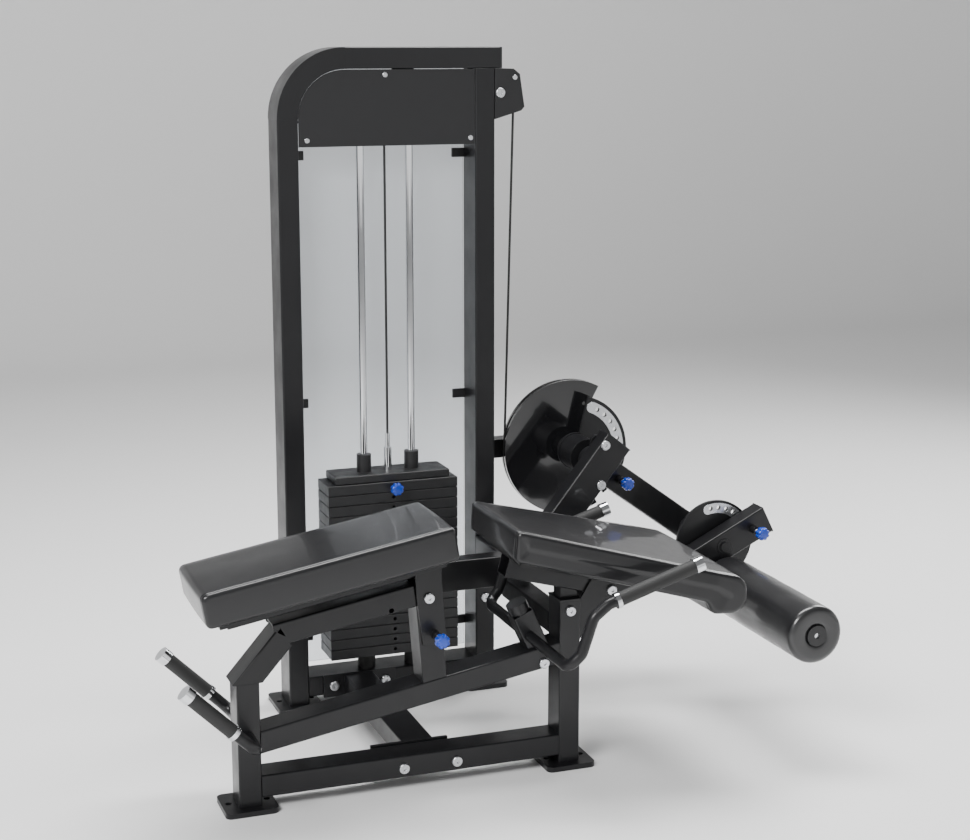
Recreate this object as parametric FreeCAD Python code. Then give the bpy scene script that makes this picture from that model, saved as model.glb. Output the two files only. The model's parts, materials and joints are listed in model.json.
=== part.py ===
import FreeCAD, Part
import math
import os

os.makedirs("parts", exist_ok=True)

# Combined leg extension and leg curl machine. Millimetres, Z up, floor at 0.
# X runs along the bench from the head end to the roller, Y from the user to the weight tower.

# ---- driving dimensions ----
ORIGIN = (615.232, 186.253)            # bench frame point that becomes the row's origin, X and Y
WALL = 3.0                         # steel tube wall
TUBE = 50.0                        # narrow side of every frame tube
BENCH_HALF = 35.0                  # half the bench tubes' depth in Y
RIGHT_POST = 736.0                 # X of the bench's right post
SLOPE = 9.9                        # rise of the bench beams, degrees
PLATE_T = 12.0                     # foot plate thickness
TOWER_L, TOWER_R = 252.0, 739.0    # X of the tower posts
TOWER_FRONT, TOWER_BACK = 525.0, 615.0
TOWER_H = 1605.0
CORNER_R = 165.0                   # outer radius of the tower's bent corner
CABLE_Y = 560.0                    # plane of the cable, pulleys, rods and weight stack
CABLE_R = 3.0
STACK_X = 495.5
PLATE_PITCH, PLATE_H, PLATES = 26.0, 25.5, 17
STACK_Z = 121.0                    # underside of the lowest plate
PULLEY_R, PULLEY_RUN = 52.0, 48.0  # rim radius and radius of the cable's centre line
PULLEY_Z = 1497.0
PULLEY_X = (STACK_X + PULLEY_RUN, 777.0)
AXIS = (973.0, 605.0)              # main pivot, X and Z
CAM_R, CAM_RUN = 173.0, 170.0      # rim radius and radius of the cable's centre line
ARM_ANGLE = -36.0
ARM_HOLES_R, ARM_STEP = 117.5, 12.0
LEVER_AXIS = (1262.0, 396.0)       # pivot at the arm's end, X and Z
LEVER_ANGLE = 26.5
LEVER_HOLES_R, LEVER_STEP = 86.0, 14.5
ROLLER = (1259.0, 309.0)           # roller centre, X and Z
ROLLER_R = 67.5
TILT_AXIS = (401.0, 438.0)         # head pad's pivot, X and Z
TILT_HOLES_R = 85.5
TILT_PIN_ANGLE, TILT_STOP_ANGLE = -81.0, -165.0
REST_LOW, REST_TOP = (418.5, 222.0), (399.0, 463.0)   # leaning post under the head pad
SIDE_Y = 250.0                     # distance of the side handles from the bench's middle
FRONT_Y = 128.0                    # distance of the head-end handles from the middle
HANDLE_R, GRIP_R = 12.5, 15.5
BOLT_R, HEAD_R, HEAD_H = 6.0, 12.0, 7.0
PIN_R, PIN_GAP = 5.0, 2.5          # pop pin, and its distance from the plate when pulled
SCALE_T = 1.5                      # thickness of the bright index strips
UPRIGHT_ANGLE = 51.6               # lean of the post that carries the main pivot
UPRIGHT_Y = (330.0, 380.0)
SHAFT_R = 12.5
STEM_TOP, ROD_TOP = 675.0, 1438.0
POST_BOLT_Z = 238.0
CABLE_ANCHOR = 236.0               # where the cable ends on the cam, degrees
CAM_ARC = (62.0, 298.0)            # ends of the cam's rim, degrees
CAM_Y, INDEX_Y = (547.5, 572.5), (502.0, 510.0)
ARM_Y, DISC_Y, LEVER_Y = (440.0, 490.0), (290.0, 298.0), (235.0, 285.0)
ROLLER_Y = (-220.0, 222.0)
UP = FreeCAD.Vector(0, 0, 1)
IN_Y = FreeCAD.Vector(0, 1, 0)


# ---- helpers ----
def vec(x, y, z):
    return FreeCAD.Vector(x, y, z)


def polar(centre, radius, degrees):
    """Point in the XZ plane, counted anticlockwise as seen from the user's side."""
    a = math.radians(degrees)
    return centre[0] + radius * math.cos(a), centre[1] + radius * math.sin(a)


def box(x0, x1, y0, y1, z0, z1):
    return Part.makeBox(x1 - x0, y1 - y0, z1 - z0, vec(x0, y0, z0))


def rod(start, end, radius):
    """Solid cylinder between two points."""
    a, b = vec(*start), vec(*end)
    return Part.makeCylinder(radius, (b - a).Length, a, b - a)


def disc(centre, radius, y0, y1):
    """Cylinder along Y about a point of the XZ plane."""
    return rod((centre[0], y0, centre[1]), (centre[0], y1, centre[1]), radius)


def prism(points, y0, y1):
    """Flat plate in the XZ plane from y0 to y1."""
    wire = Part.makePolygon([vec(x, y0, z) for x, z in points + points[:1]])
    return Part.Face(wire).extrude(vec(0, y1 - y0, 0))


def bar_outline(a, b, width):
    """Corners of a bar of the given width between two points of the XZ plane."""
    run = math.hypot(b[0] - a[0], b[1] - a[1])
    nx, nz = -(b[1] - a[1]) / run * width / 2, (b[0] - a[0]) / run * width / 2
    return [(a[0] + nx, a[1] + nz), (b[0] + nx, b[1] + nz), (b[0] - nx, b[1] - nz), (a[0] - nx, a[1] - nz)]


def bar(a, b, width, y0, y1):
    return prism(bar_outline(a, b, width), y0, y1)


def edge_rounded(shape, radius, along):
    """Rounds the long edges that run along a direction."""
    edges = [e for e in shape.Edges if abs(abs(e.tangentAt(e.FirstParameter).dot(along)) - 1) < 1e-6]
    return shape.makeFillet(radius, edges)


def slant_tube(a, b, width, y0, y1):
    """Hollow rectangular tube in the XZ plane, open at both ends."""
    along = vec(b[0] - a[0], 0, b[1] - a[1]).normalize()
    outer = edge_rounded(bar(a, b, width, y0, y1), 4.0, along)
    reach = 2.0
    a2 = (a[0] - along.x * reach, a[1] - along.z * reach)
    b2 = (b[0] + along.x * reach, b[1] + along.z * reach)
    return outer.cut(bar(a2, b2, width - 2 * WALL, y0 + WALL, y1 - WALL))


def trimmed(shape, *cutters):
    """Cuts a tube back to its neighbours and keeps its main length."""
    for cutter in cutters:
        shape = shape.cut(cutter)
    return max(shape.Solids, key=lambda s: s.Volume)


def drilled(shape, points, radius=BOLT_R + 0.5, depth=10.0):
    """Holes along Y that start at each point."""
    for x, y, z in points:
        shape = shape.cut(rod((x, y - 1, z), (x, y + depth, z), radius))
    return shape


def bolt(x, y, z, depth=8.0):
    """Button-head bolt whose head stands on the face at y and looks at the user."""
    head = Part.makeCylinder(HEAD_R, HEAD_H, vec(x, y, z), vec(0, -1, 0))
    head = head.makeFillet(3.0, [e for e in head.Edges if e.BoundBox.YMax < y - HEAD_H + 0.1])
    socket = Part.makeCylinder(4.0, 3.5, vec(x, y - HEAD_H, z), IN_Y)
    return head.cut(socket).fuse(rod((x, y, z), (x, y + depth, z), BOLT_R))


def route(points, radius_of):
    """Centre line of straight runs joined by tangent arcs."""
    pts = [vec(*p) for p in points]
    edges, last = [], pts[0]
    for i in range(1, len(pts) - 1):
        back, ahead = (pts[i - 1] - pts[i]).normalize(), (pts[i + 1] - pts[i]).normalize()
        half = back.getAngle(ahead) / 2
        cut = radius_of / math.tan(half)
        start, end = pts[i] + back * cut, pts[i] + ahead * cut
        mid_dir = (back + ahead).normalize()
        mid = pts[i] + mid_dir * (radius_of / math.sin(half) - radius_of)
        edges += [Part.LineSegment(last, start).toShape(), Part.Arc(start, mid, end).toShape()]
        last = end
    edges.append(Part.LineSegment(last, pts[-1]).toShape())
    return Part.Wire(edges)


def piped(wire, radius):
    """Round bar swept along a centre line."""
    first = wire.Edges[0]
    start = first.valueAt(first.FirstParameter)
    ring = Part.Wire(Part.makeCircle(radius, start, first.tangentAt(first.FirstParameter)))
    return wire.makePipeShell([ring], True, False)


def bent_tube(points, bend, outer, inner):
    wire = route(points, bend)
    return piped(wire, outer).cut(piped(wire, inner))


def sleeve(start, end, outer, inner):
    return rod(start, end, outer).cut(rod(start, end, inner))


def mirrored(shape):
    return shape.mirror(vec(0, 0, 0), IN_Y)


GROUPS = {}


def add(name, *shapes):
    """Collects separate solids that share one node until the end of the build."""
    GROUPS.setdefault(name, []).extend(shapes)


def save(name, *shapes):
    """Writes one node; its solids stay separate."""
    solids = [s for shape in shapes for s in shape.Solids]
    node = solids[0] if len(solids) == 1 else Part.makeCompound(solids)
    node = node.copy()
    node.translate(vec(-ORIGIN[0], -ORIGIN[1], 0))
    node.exportStep("parts/%s.step" % name)


# ---- bench frame ----
def beam_z(x, height_at_post=150.0):
    """Height of a sloped member's centre line."""
    return height_at_post + x * math.tan(math.radians(SLOPE))


def foot(x0, x1, y0, y1, hole_dx, hole_y, radius=7.0):
    plate = edge_rounded(box(x0, x1, y0, y1, 0, PLATE_T), 14.0, UP)
    middle = (x0 + x1) / 2
    for x in (middle - hole_dx, middle + hole_dx):
        plate = plate.cut(rod((x, hole_y, -1), (x, hole_y, PLATE_T + 1), radius))
    return plate


def upright_tube(x, y0, y1, z0, z1):
    half = TUBE / 2
    outer = edge_rounded(box(x - half, x + half, y0, y1, z0, z1), 4.0, UP)
    return outer.cut(box(x - half + WALL, x + half - WALL, y0 + WALL, y1 - WALL, z0 - 1, z1 + 1))


def level_tube(x0, x1, y0, y1, z0, z1):
    outer = edge_rounded(box(x0, x1, y0, y1, z0, z1), 4.0, vec(1, 0, 0))
    return outer.cut(box(x0 - 1, x1 + 1, y0 + WALL, y1 - WALL, z0 + WALL, z1 - WALL))


def bench_frame():
    half = TUBE / 2
    shoulder, elbow = (0.0, 289.0), (84.0, 385.0)
    post_block = box(-half, half, -BENCH_HALF, BENCH_HALF, PLATE_T, shoulder[1])
    right_block = box(RIGHT_POST - half, RIGHT_POST + 300, -BENCH_HALF, BENCH_HALF, 0, 600)
    save("bench_post_left", upright_tube(0, -BENCH_HALF, BENCH_HALF, PLATE_T, shoulder[1]))
    diagonal = slant_tube((-22.0, 263.6), (106.0, 410.0), TUBE, -BENCH_HALF, BENCH_HALF)
    top_end = (372.0, beam_z(372.0, 378.5))
    elbow_low = (60.0, beam_z(60.0, 378.5))
    top_tube = slant_tube(elbow_low, top_end, TUBE, -BENCH_HALF, BENCH_HALF)
    mitre = prism([(elbow[0] - 130, elbow[1] + 77), elbow, (elbow[0] + 60, elbow[1] - 104.6), (0, 200)], -40, 40)
    outside = prism([(elbow[0] - 90, elbow[1] + 157), elbow, (elbow[0] + 60, elbow[1] - 104.6), (400, 600)], -40, 40)
    add("bench_top_tube", trimmed(diagonal, post_block, outside, box(-60, 60, -40, 40, 0, 289)))
    rest_lean = bar(REST_LOW, REST_TOP, 56.0, -BENCH_HALF, BENCH_HALF)
    stop_x, stop_z = polar(TILT_AXIS, TILT_HOLES_R, TILT_STOP_ANGLE)
    holed = drilled(top_tube, [(stop_x, -BENCH_HALF, stop_z)], PIN_R + 0.6, 12.0)
    add("bench_top_tube", trimmed(holed, mitre, rest_lean))
    beam = slant_tube((0.0, beam_z(0)), (RIGHT_POST, beam_z(RIGHT_POST)), TUBE, -BENCH_HALF, BENCH_HALF)
    beam = drilled(beam, [(673.0, -BENCH_HALF, 255.0)])
    save("bench_main_beam", trimmed(beam, post_block, right_block))
    post = upright_tube(RIGHT_POST, -BENCH_HALF, BENCH_HALF, PLATE_T, 392.0)
    save("bench_post_right", drilled(post, [(RIGHT_POST, -BENCH_HALF, 370.0)]))
    base = level_tube(half, RIGHT_POST - half, -BENCH_HALF, BENCH_HALF, 30.0, 80.0)
    base_bolts = [(343.0, -BENCH_HALF, 52.0), (466.0, -BENCH_HALF, 52.0)]
    save("bench_base_tube", drilled(base, base_bolts))
    foot_left = foot(-58.0, 58.0, -57.0, 57.0, 42.0, 0.0)
    foot_right = foot(RIGHT_POST - 58, RIGHT_POST + 58, -57.0, 57.0, 42.0, 0.0)
    add("foot_plates", foot_left, foot_right)
    rest_block = bar((0.0, beam_z(0)), (RIGHT_POST, beam_z(RIGHT_POST)), TUBE, -40, 40)
    rest = slant_tube(REST_LOW, REST_TOP, 56.0, -BENCH_HALF, BENCH_HALF)
    rest = rest.cut(disc(TILT_AXIS, 7.05, -60, 60))
    pin_x, pin_z = polar(TILT_AXIS, TILT_HOLES_R, TILT_PIN_ANGLE)
    save("pad_rest_post", trimmed(drilled(rest, [(pin_x, -BENCH_HALF, pin_z)], PIN_R + 0.6, 12.0), rest_block))
    add("tube_caps", box(RIGHT_POST - half, RIGHT_POST + half, -BENCH_HALF, BENCH_HALF, 392.0, 396.0))
    flange_a = box(288.0, 468.0, BENCH_HALF, BENCH_HALF + 8, 26.0, 84.0)
    flange_b = box(312.0, 496.0, TOWER_FRONT - 8, TOWER_FRONT, 26.0, 84.0)
    low_bolts = [(338.0, TOWER_FRONT - 8, 55.0), (470.0, TOWER_FRONT - 8, 55.0)]
    save("cross_tube", cross_tube(), flange_a, drilled(flange_b, low_bolts))
    add("frame_bolts", *[bolt(*p) for p in base_bolts + low_bolts])


def cross_tube():
    """Tube along Y from the bench's base to the tower's base."""
    y0, y1 = BENCH_HALF + 8, TOWER_FRONT - 8
    outer = edge_rounded(box(364.0, 439.0, y0, y1, 30.0, 80.0), 4.0, IN_Y)
    return outer.cut(box(364.0 + WALL, 439.0 - WALL, y0 - 1, y1 + 1, 30.0 + WALL, 80.0 - WALL))


# ---- weight tower ----
def tower_frame():
    half, low = TUBE / 2, PLATE_T
    bend_z = TOWER_H - CORNER_R
    inner_r = CORNER_R - TUBE
    bend_x = TOWER_L - half + CORNER_R
    end_x = 778.0
    left = upright_tube(TOWER_L, TOWER_FRONT, TOWER_BACK, low, bend_z)
    corner = tower_corner(bend_x, bend_z, inner_r)
    top = level_tube(bend_x, end_x, TOWER_FRONT, TOWER_BACK, TOWER_H - TUBE, TOWER_H)
    save("tower_bent_tube", left, corner, top)
    post = upright_tube(TOWER_R, TOWER_FRONT, TOWER_BACK, low, TOWER_H - TUBE)
    slot = box(TOWER_R - half - 1, TOWER_R + half + 1, CABLE_Y - 14, CABLE_Y + 14, PULLEY_Z - 60, TOWER_H - TUBE + 1)
    save("tower_post_right", drilled(post.cut(slot), [(TOWER_R, TOWER_FRONT, POST_BOLT_Z)]))
    base = level_tube(TOWER_L + half, TOWER_R - half, TOWER_FRONT, TOWER_BACK, 30.0, 80.0)
    low_bolts = [(338.0, TOWER_FRONT, 55.0), (470.0, TOWER_FRONT, 55.0)]
    save("tower_base_tube", drilled(base, low_bolts))
    feet = [foot(x - 56, x + 56, 502.0, 638.0, 41.0, 570.0) for x in (TOWER_L, TOWER_R)]
    add("foot_plates", *feet)
    add("tube_caps", box(end_x, end_x + 4, TOWER_FRONT, TOWER_BACK, TOWER_H - TUBE, TOWER_H))


def tower_corner(x, z, inner_r):
    """Quarter bend of hollow tube between the left post and the top tube."""
    def quarter(r_out, r_in, y0, y1):
        ring = disc((x, z), r_out, y0, y1).cut(disc((x, z), r_in, y0 - 1, y1 + 1))
        return ring.common(box(x - r_out - 1, x, y0 - 1, y1 + 1, z, z + r_out + 1))
    shell = quarter(CORNER_R, inner_r, TOWER_FRONT, TOWER_BACK)
    return shell.cut(quarter(CORNER_R - WALL, inner_r + WALL, TOWER_FRONT + WALL, TOWER_BACK - WALL))


def panel(y0, y1, low_z, gap):
    """Flat sheet that fits inside the tower's frame, with the corner's curve."""
    x0, x1 = TOWER_L + TUBE / 2 + gap, TOWER_R - TUBE / 2 - gap
    top, radius = TOWER_H - TUBE - gap, CORNER_R - TUBE - gap
    sheet = box(x0, x1, y0, y1, low_z, top)
    edge = [e for e in sheet.Edges if e.BoundBox.XMax < x0 + 0.1 and e.BoundBox.ZMin > top - 0.1]
    return sheet.makeFillet(radius, edge)


def tower_covers():
    holes = [(489.0, 524.0, 1541.0), (298.0, 524.0, 1391.0), (702.0, 524.0, 1391.0)]
    front = drilled(panel(527.0, 530.0, 1376.0, 1.5), holes, 3.2)
    save("head_panel", front)
    add("frame_bolts", bolt(TOWER_R, TOWER_FRONT, POST_BOLT_Z), *[panel_screw(x, 527.0, z) for x, y, z in holes])
    save("rear_panel", panel(611.0, 614.0, 92.0, 1.5))
    inner = TOWER_R - TUBE / 2
    left = TOWER_L + TUBE / 2
    clips = []
    for z in (160.0, 753.0, 1352.0):
        clips.append(box(inner - 32, inner, 604.0, 611.0, z - 11, z + 11))
        clips.append(box(left, left + 32, 604.0, 611.0, z - 11, z + 11))
    save("panel_clips", *clips)


def panel_screw(x, y, z):
    head = Part.makeCylinder(6.0, 3.0, vec(x, y, z), vec(0, -1, 0))
    head = head.makeFillet(1.4, [e for e in head.Edges if e.BoundBox.YMax < y - 2.9])
    return head.fuse(rod((x, y, z), (x, y + 6, z), 2.9))


def rods():
    xs = (STACK_X - 61, STACK_X + 61)
    save("guide_rods", *[rod((x, CABLE_Y, 80.0), (x, CABLE_Y, ROD_TOP), 9.5) for x in xs])
    bar_shape = box(TOWER_L + TUBE / 2, TOWER_R - TUBE / 2, CABLE_Y - 20, CABLE_Y + 20, ROD_TOP - 7, ROD_TOP - 2)
    for x in xs:
        bar_shape = bar_shape.cut(rod((x, CABLE_Y, ROD_TOP - 10), (x, CABLE_Y, ROD_TOP), 9.5))
    bar_shape = bar_shape.cut(rod((STACK_X, CABLE_Y, ROD_TOP - 10), (STACK_X, CABLE_Y, ROD_TOP), 8.0))
    add("head_brackets", bar_shape)
    save("stack_buffers", *[sleeve((x, CABLE_Y, 80.0), (x, CABLE_Y, STACK_Z), 22.0, 10.0) for x in xs])


def plate(z, width, deep):
    """One weight plate with holes for the rods, the stem and the selector pin."""
    y0 = CABLE_Y - deep / 2
    shape = box(STACK_X - width / 2, STACK_X + width / 2, y0, y0 + deep, z, z + PLATE_H)
    shape = shape.makeChamfer(1.6, [e for e in shape.Edges if e.BoundBox.ZLength < 0.1])
    for x in (STACK_X - 61, STACK_X + 61):
        shape = shape.cut(rod((x, CABLE_Y, z - 1), (x, CABLE_Y, z + 30), 10.5))
    shape = shape.cut(rod((STACK_X, CABLE_Y, z - 1), (STACK_X, CABLE_Y, z + 30), 12.0))
    return shape.cut(rod((STACK_X, y0 - 1, z + 13), (STACK_X, y0 + deep - 12, z + 13), 4.6))


def weight_stack():
    zs = [STACK_Z + i * PLATE_PITCH for i in range(PLATES)]
    low = [plate(z, 330.0, 98.0) for z in zs[:-1]]
    save("weight_plates", *low)
    save("lifted_plate", plate(zs[-1], 330.0, 98.0))
    top_z = zs[-1] + PLATE_PITCH
    head = box(STACK_X - 145, STACK_X + 145, CABLE_Y - 45, CABLE_Y + 47, top_z, top_z + 20)
    head = head.makeChamfer(2.0, [e for e in head.Edges if e.BoundBox.ZLength < 0.1])
    for x in (STACK_X - 61, STACK_X + 61):
        head = head.cut(rod((x, CABLE_Y, top_z - 1), (x, CABLE_Y, top_z + 30), 10.5))
    head = head.cut(rod((STACK_X, CABLE_Y, top_z - 1), (STACK_X, CABLE_Y, top_z + 30), 10.0))
    stem = rod((STACK_X, CABLE_Y, STACK_Z + 4), (STACK_X, CABLE_Y, 640.0), 10.0)
    stem = stem.fuse(rod((STACK_X, CABLE_Y, 640.0), (STACK_X, CABLE_Y, STEM_TOP), 6.5))
    for z in zs:
        stem = stem.cut(rod((STACK_X, CABLE_Y - 20, z + 13), (STACK_X, CABLE_Y + 20, z + 13), 4.6))
    save("selector_stem", stem)
    collar_z = top_z + 20
    collars = []
    for x in (STACK_X - 61, STACK_X + 61):
        collars.append(sleeve((x, CABLE_Y, collar_z), (x, CABLE_Y, collar_z + 44), 18.0, 10.2))
    save("stack_top_plate", head, *collars)
    pin_z = zs[-1] + 13
    front = CABLE_Y - 49.0
    shank = rod((STACK_X, front - 14, pin_z), (STACK_X, front + 75, pin_z), 4.0)
    save("selector_pin", shank.fuse(knob((STACK_X, front - 14, pin_z), 16.0, 24.0)))


def knob(base, radius, length):
    """Rounded pull knob that stands from its base towards the user."""
    shape = Part.makeCylinder(radius, length, vec(*base), vec(0, -1, 0))
    rims = [e for e in shape.Edges if e.BoundBox.YLength < 0.01]
    return shape.makeFillet(4.0, rims)


# ---- cable and pulleys ----
def pulley(x):
    wheel = disc((x, PULLEY_Z), PULLEY_R, CABLE_Y - 10, CABLE_Y + 10)
    groove = Part.makeTorus(PULLEY_RUN + 2, 5.4, vec(x, CABLE_Y, PULLEY_Z), IN_Y)
    wheel = wheel.cut(groove).cut(disc((x, PULLEY_Z), 6.06, CABLE_Y - 20, CABLE_Y + 20))
    for y0 in (CABLE_Y - 11, CABLE_Y + 7):
        dish = disc((x, PULLEY_Z), 38.0, y0, y0 + 4).cut(disc((x, PULLEY_Z), 14.0, y0 - 1, y0 + 5))
        wheel = wheel.cut(dish)
    return wheel


def tangent_line():
    """Cable from the right of the second pulley to the left of the cam."""
    dx, dz = AXIS[0] - PULLEY_X[1], AXIS[1] - PULLEY_Z
    reach = math.hypot(dx, dz)
    lean = math.atan2(dx, -dz) - math.asin((CAM_RUN + PULLEY_RUN) / reach)
    nx, nz = math.cos(lean), math.sin(lean)
    high = (PULLEY_X[1] + PULLEY_RUN * nx, PULLEY_Z + PULLEY_RUN * nz)
    low = (AXIS[0] - CAM_RUN * nx, AXIS[1] - CAM_RUN * nz)
    return high, low, math.degrees(lean)


def cables():
    y, top_z = CABLE_Y, PULLEY_Z + PULLEY_RUN
    save("cable_stack_run", rod((STACK_X, y, STEM_TOP), (STACK_X, y, PULLEY_Z), CABLE_R))
    high, low, lean = tangent_line()
    first = polar((PULLEY_X[0], PULLEY_Z), PULLEY_RUN, 135)
    second = polar((PULLEY_X[1], PULLEY_Z), PULLEY_RUN, 45)
    wire = Part.Wire([
        Part.Arc(vec(STACK_X, y, PULLEY_Z), vec(first[0], y, first[1]), vec(PULLEY_X[0], y, top_z)).toShape(),
        Part.LineSegment(vec(PULLEY_X[0], y, top_z), vec(PULLEY_X[1], y, top_z)).toShape(),
        Part.Arc(vec(PULLEY_X[1], y, top_z), vec(second[0], y, second[1]), vec(high[0], y, high[1])).toShape()])
    drop = rod((high[0], y, high[1]), (low[0], y, low[1]), CABLE_R)
    save("cable_head_run", piped(wire, CABLE_R), drop)
    start, mid, end = [polar(AXIS, CAM_RUN, a) for a in (180 + lean, 210, CABLE_ANCHOR)]
    arc = Part.Arc(vec(start[0], y, start[1]), vec(mid[0], y, mid[1]), vec(end[0], y, end[1]))
    save("cable_cam_run", piped(Part.Wire([arc.toShape()]), CABLE_R))


def pulleys():
    save("stack_pulley", pulley(PULLEY_X[0]))
    save("drop_pulley", pulley(PULLEY_X[1]))
    hangers = []
    for y in (CABLE_Y - 17, CABLE_Y + 12):
        plate_shape = box(PULLEY_X[0] - 22, PULLEY_X[0] + 22, y, y + 5, PULLEY_Z - 22, TOWER_H - TUBE)
        hangers.append(plate_shape.cut(disc((PULLEY_X[0], PULLEY_Z), 6.0, y - 1, y + 6)))
    add("head_brackets", *hangers)
    axle_a = disc((PULLEY_X[0], PULLEY_Z), 6.0, CABLE_Y - 22, CABLE_Y + 22)
    axle_b = disc((PULLEY_X[1], PULLEY_Z), 6.0, TOWER_FRONT + 4, TOWER_BACK - 4)
    head = bolt(PULLEY_X[1], TOWER_FRONT, PULLEY_Z, 4.0)
    add("head_brackets", axle_a, axle_b)
    add("frame_bolts", head, panel_screw(815.0, TOWER_FRONT, 1533.0))
    face_x = TOWER_R + TUBE / 2
    outline = [(face_x, 1555.0), (812.0, 1553.5), (828.0, 1541.0), (840.0, 1463.0), (832.0, 1454.0),
               (face_x, 1434.0)]
    inside = [(face_x - 1, 1551.5), (811.0, 1550.0), (825.0, 1538.5), (836.5, 1463.0), (836.5, 1400.0),
              (face_x - 1, 1400.0)]
    shell = prism(outline, TOWER_FRONT, TOWER_BACK).cut(prism(inside, TOWER_FRONT + 4, TOWER_BACK - 4))
    for y in (TOWER_FRONT - 1, TOWER_BACK - 5):
        shell = shell.cut(disc((PULLEY_X[1], PULLEY_Z), 6.0, y, y + 6))
    shell = drilled(shell, [(815.0, TOWER_FRONT, 1533.0)], 3.2)
    save("pulley_box", shell)


# ---- main pivot ----
def pivot_support():
    top, low = polar(AXIS, 68.0, UPRIGHT_ANGLE), polar(AXIS, -343.0, UPRIGHT_ANGLE)
    y0, y1 = UPRIGHT_Y
    rail = level_tube(520.0, 782.0, y0, y1, 325.0, 400.0)
    rail_block = box(500.0, 782.0, y0, y1, 325.0, 400.0)
    bolt_points = [polar(AXIS, 49.5, 84.0), polar(AXIS, 49.5, 264.0)]
    post = slant_tube(low, top, 75.0, y0, y1)
    near = [(x, y0, z) for x, z in bolt_points]
    post = drilled(post, near, BOLT_R + 0.5, 60.0).cut(disc(AXIS, 17.0, y0 + WALL, y1 + 1))
    under = box(500.0, 1000.0, y0 - 1, y1 + 1, 100.0, 400.0)
    save("pivot_upright", trimmed(post, rail_block, under))
    add("tube_caps", bar(top, polar(AXIS, 71.0, UPRIGHT_ANGLE), 75.0, y0, y1))
    rail = drilled(rail, [(724.0, y0, 366.0)])
    link_y = (y1, TOWER_FRONT)
    link = edge_rounded(box(TOWER_R - 25, TOWER_R + 25, *link_y, 325.0, 400.0), 4.0, IN_Y)
    hollow = box(TOWER_R - 22, TOWER_R + 22, y1 - 1, TOWER_FRONT + 1, 328.0, 397.0)
    save("pivot_rail", rail, link.cut(hollow), rail_brace())
    save("near_bearing", bearing(y1, y1 + 28.0, bolt_points))
    add("frame_bolts", *[bolt(x, y0, z, 50.0) for x, z in bolt_points], bolt(724.0, y0, 366.0))


def rail_brace():
    """Tube along Y from the bench's right post back to the pivot rail."""
    y0, y1 = BENCH_HALF, UPRIGHT_Y[0]
    outer = edge_rounded(box(RIGHT_POST - 25, RIGHT_POST + 25, y0, y1, 300.0, 350.0), 4.0, IN_Y)
    return outer.cut(box(RIGHT_POST - 22, RIGHT_POST + 22, y0 - 1, y1 + 1, 303.0, 347.0))


def bearing(y0, y1, ears):
    """Flanged bearing unit: an oval flange with a round housing."""
    flange = disc(AXIS, 34.0, y0, y0 + 10)
    for x, z in ears:
        flange = flange.fuse(bar(AXIS, (x, z), 30.0, y0, y0 + 10)).fuse(disc((x, z), 15.0, y0, y0 + 10))
    unit = flange.fuse(disc(AXIS, 32.0, y0, y1)).cut(disc(AXIS, SHAFT_R + 0.05, y0 - 1, y1 + 1))
    for x, z in ears:
        unit = unit.cut(disc((x, z), BOLT_R, y0 - 1, y0 + 11))
    return unit


def cam_group():
    y0, y1 = CAM_Y
    wheel = disc(AXIS, CAM_R, y0, y1).cut(disc(AXIS, CAM_R - 13.0, y0 + 7, y1 + 1))
    wheel = wheel.fuse(disc(AXIS, 40.0, y0, y1))
    wheel = wheel.cut(Part.makeTorus(CAM_RUN + 1.5, 5.2, vec(AXIS[0], CABLE_Y, AXIS[1]), IN_Y))
    high, low = polar(AXIS, CAM_R + 9, CAM_ARC[0]), polar(AXIS, CAM_R + 9, CAM_ARC[1])
    away = [high, (AXIS[0] + 58, AXIS[1] + 110), (AXIS[0] + 58, AXIS[1] - 110), low]
    away += [(AXIS[0] + 220, AXIS[1] - 220), (AXIS[0] + 220, AXIS[1] + 220)]
    wheel = wheel.cut(prism(away, y0 - 1, y1 + 1)).cut(disc(AXIS, SHAFT_R, y0 - 1, y1 + 1))
    save("cam_wheel", trimmed(wheel))
    save("cam_shaft", disc(AXIS, SHAFT_R, UPRIGHT_Y[0] + 8, 640.0))
    a0, a1 = -56.0, 76.0
    index = sector(AXIS, 140.0, a0, a1, *INDEX_Y).fuse(disc(AXIS, 46.0, *INDEX_Y))
    index = index.fuse(disc(AXIS, 30.0, INDEX_Y[1], y0)).cut(disc(AXIS, SHAFT_R, INDEX_Y[0] - 1, y0 + 1))
    scale = ring_sector(AXIS, 103.0, 131.0, 1.0, 68.0, INDEX_Y[0] - SCALE_T, INDEX_Y[0])
    for k in range(9):
        hole = disc(polar(AXIS, ARM_HOLES_R, ARM_ANGLE + k * ARM_STEP), PIN_R + 0.8, INDEX_Y[0] - 5, INDEX_Y[1] + 1)
        index, scale = index.cut(hole), scale.cut(hole)
    save("index_plate", index)
    save("index_scale", scale)


def sector(centre, radius, a0, a1, y0, y1):
    """Pie-shaped plate between two angles."""
    far = [polar(centre, radius * 1.6, a0 + (a1 - a0) * i / 6) for i in range(7)]
    return disc(centre, radius, y0, y1).common(prism([centre] + far, y0, y1))


def ring_sector(centre, r_in, r_out, a0, a1, y0, y1):
    """Curved strip with round ends."""
    mid = (r_in + r_out) / 2
    strip = sector(centre, r_out, a0, a1, y0, y1).cut(disc(centre, r_in, y0 - 1, y1 + 1))
    for angle in (a0, a1):
        strip = strip.fuse(disc(polar(centre, mid, angle), (r_out - r_in) / 2, y0, y1))
    return strip.removeSplitter()


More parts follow.
